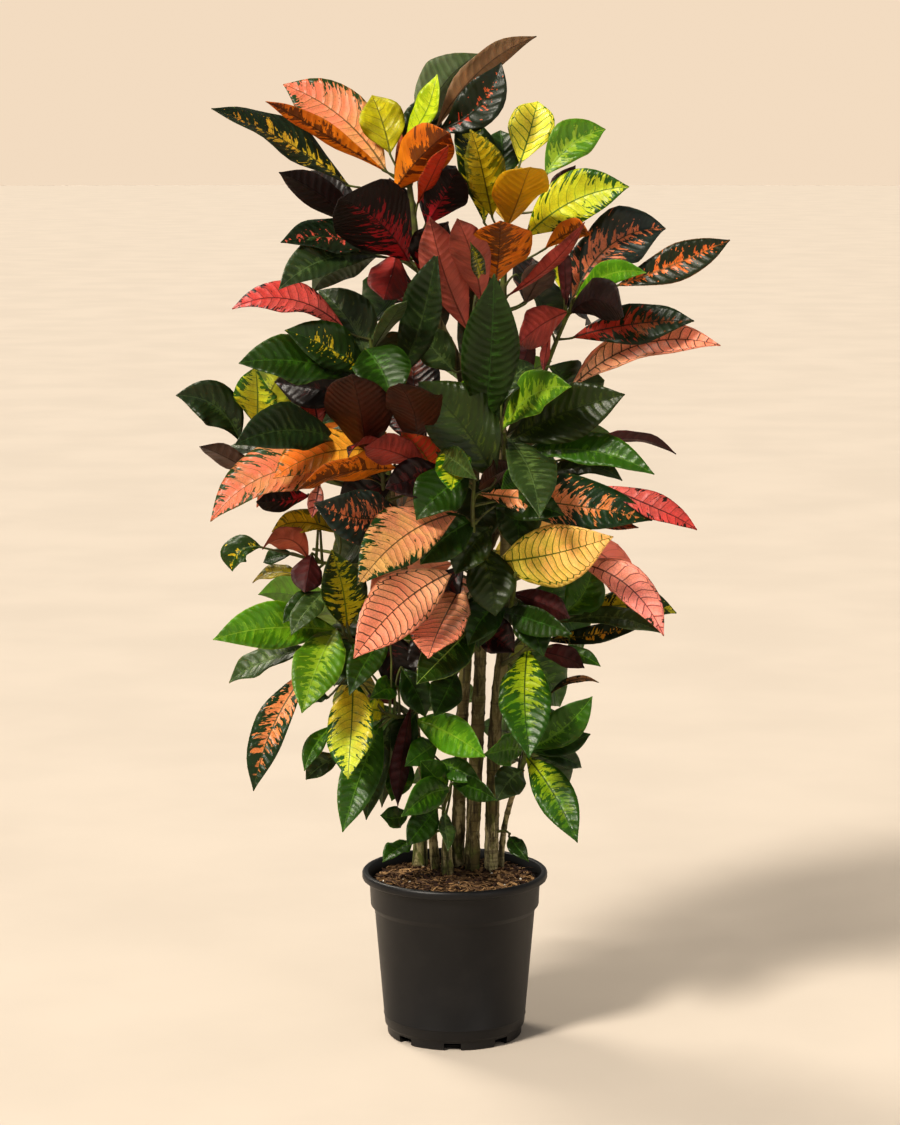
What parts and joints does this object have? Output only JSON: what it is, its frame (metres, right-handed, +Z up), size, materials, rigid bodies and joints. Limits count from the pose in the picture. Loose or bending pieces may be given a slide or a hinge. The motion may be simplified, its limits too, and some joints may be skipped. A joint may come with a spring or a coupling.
{
  "type": "potted croton",
  "caption": "Bushy croton with long variegated leaves on woody canes, standing in a round nursery pot of soil; a free-standing indoor foliage plant.",
  "frame": {"origin": "middle of the flat underside of the pot, on the surface that it stands on", "axes": "+Z up along the pot's axis; +X to the right and +Y away from a person who looks at the plant from the front"},
  "size_m": [0.5641, 0.4214, 1.0413],
  "materials": {
    "pot_plastic": "matte charcoal, slightly scuffed",
    "soil": "loose bark and coir fibres",
    "bark": "rough grey-brown bark with leaf scars",
    "leaf_green": "waxy leaf, green with yellow blotches",
    "leaf_dark": "waxy leaf, near-black green with red spots",
    "leaf_yellow": "waxy leaf, yellow with green veins",
    "leaf_pink": "waxy leaf, salmon and orange with green blotches"
  },
  "bodies": {
    "root": {"pot": "pot_plastic", "soil": "soil", "cane_main": "bark", "cane_right": "bark", "cane_back": "bark", "cane_left": "bark", "cane_low": "bark", "cane_thin": "bark", "cane_stub": "bark", "crown_left": "leaf_pink", "crown_right": "leaf_yellow", "right_high": "leaf_dark", "centre_high": "leaf_pink", "centre_high_back": "leaf_pink", "left_high": "leaf_green", "left_wing": "leaf_dark", "left_wing_back": "leaf_dark", "left_salmon": "leaf_pink", "left_salmon_back": "leaf_pink", "heart": "leaf_pink", "heart_back": "leaf_pink", "centre_green": "leaf_green", "centre_green_back": "leaf_green", "right_middle": "leaf_yellow", "right_middle_back": "leaf_yellow", "right_hanging": "leaf_yellow", "right_hanging_back": "leaf_yellow", "right_low": "leaf_green", "centre_low": "leaf_green", "centre_low_back": "leaf_green", "left_green": "leaf_green", "left_green_back": "leaf_green", "left_middle": "leaf_dark", "left_middle_back": "leaf_dark", "left_low": "leaf_green", "left_low_back": "leaf_green", "centre_bottom": "leaf_green", "right_twig": "leaf_green"}
  },
  "joints": []
}
